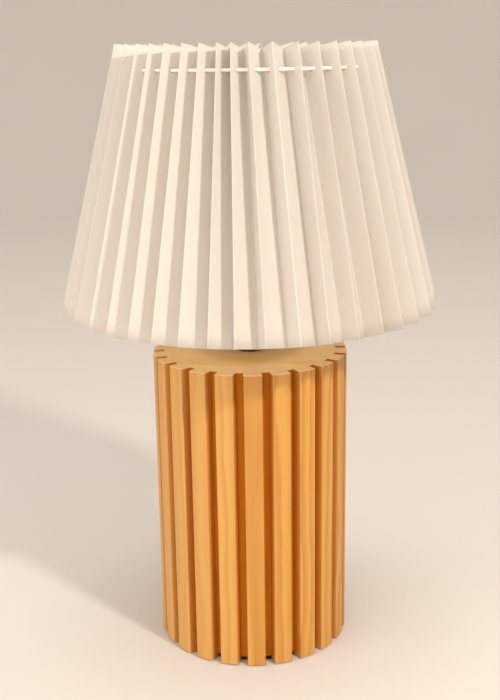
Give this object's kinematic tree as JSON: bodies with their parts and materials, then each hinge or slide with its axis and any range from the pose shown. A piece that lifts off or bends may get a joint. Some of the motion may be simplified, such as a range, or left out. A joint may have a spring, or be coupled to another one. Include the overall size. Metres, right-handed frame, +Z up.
{
  "type": "table lamp",
  "caption": "Table lamp with a round slatted wooden base and a pleated paper shade on a wire frame, gathered by a drawstring near the top.",
  "frame": {"origin": "centre of the foot pad's underside, on the surface that the lamp stands on", "axes": "+Z up along the lamp's axis; -Y is the front as pictured, and the cable outlet is at +Y; +X is the viewer's right"},
  "size_m": [0.248, 0.2474, 0.401],
  "materials": {
    "slat_wood": "clear matt lacquer on pine",
    "core_wood": "oiled softwood, darker",
    "top_wood": "clear matt lacquer on pine",
    "dowel_wood": "raw beech",
    "black_pad": "matt foam rubber",
    "black_rubber": "matt",
    "zinc_steel": "zinc plated",
    "dark_metal": "dark bronze, satin",
    "holder_plastic": "fine texture",
    "switch_plastic": "smooth",
    "steatite": "unglazed",
    "brass_parts": "bright",
    "bulb_metal": "satin",
    "bulb_insulation": "glassy black",
    "bulb_glass": "clear",
    "stem_glass": "clear",
    "filament": "phosphor coated",
    "pleated_paper": "matt, slightly warm white",
    "cotton_cord": "white, fine plait",
    "white_wire": "white powder coat"
  },
  "bodies": {
    "base": {"slat_01": "slat_wood", "slat_02": "slat_wood", "slat_03": "slat_wood", "slat_04": "slat_wood", "slat_05": "slat_wood", "slat_06": "slat_wood", "slat_07": "slat_wood", "slat_08": "slat_wood", "slat_09": "slat_wood", "slat_10": "slat_wood", "slat_11": "slat_wood", "slat_12": "slat_wood", "slat_13": "slat_wood", "slat_14": "slat_wood", "slat_15": "slat_wood", "slat_16": "slat_wood", "slat_17": "slat_wood", "slat_18": "slat_wood", "slat_19": "slat_wood", "slat_20": "slat_wood", "slat_21": "slat_wood", "slat_22": "slat_wood", "base_core": "core_wood", "bottom_plate": "core_wood", "top_plate": "top_wood", "foot_pad": "black_pad", "top_dowels": "dowel_wood", "bottom_screws": "zinc_steel", "cable_grommet": "black_rubber", "threaded_rod": "zinc_steel", "rod_washer": "zinc_steel", "rod_nut": "zinc_steel", "neck_collar": "dark_metal", "holder_cap": "holder_plastic", "holder_body": "holder_plastic", "holder_grub_screw": "zinc_steel", "holder_insert": "steatite", "terminal_screws": "brass_parts", "screw_shell": "brass_parts", "centre_contact": "brass_parts"},
    "switch": {"switch_bar": "switch_plastic"},
    "bulb": {"bulb_contact": "bulb_metal", "bulb_insulator": "bulb_insulation", "bulb_cap": "bulb_metal", "bulb_glass": "bulb_glass", "bulb_stem": "stem_glass", "bulb_filaments": "filament"},
    "shade": {"pleated_shade": "pleated_paper", "drawstring": "cotton_cord", "bottom_ring": "white_wire", "top_ring": "white_wire", "strut_1": "white_wire", "strut_2": "white_wire", "strut_3": "white_wire", "spoke_1": "white_wire", "spoke_2": "white_wire", "spoke_3": "white_wire", "fitter_plate": "white_wire"},
    "shade_ring": {"shade_ring": "holder_plastic"}
  },
  "joints": [
    {"name": "shade_lift", "type": "slide", "parent": "base", "child": "shade", "axis": [0, 0, 1], "range_m": [0, 0.12]},
    {"name": "shade_ring_turn", "type": "hinge", "parent": "shade", "child": "shade_ring", "pos_m": [0, 0, 0.2459], "axis": [0, 0, 1], "continuous": true},
    {"name": "bulb_lift", "type": "slide", "parent": "base", "child": "bulb", "axis": [0, 0, 1], "range_m": [0, 0.17]},
    {"name": "switch_push", "type": "slide", "parent": "base", "child": "switch", "axis": [-1, 0, 0], "range_m": [0, 0.005]}
  ]
}
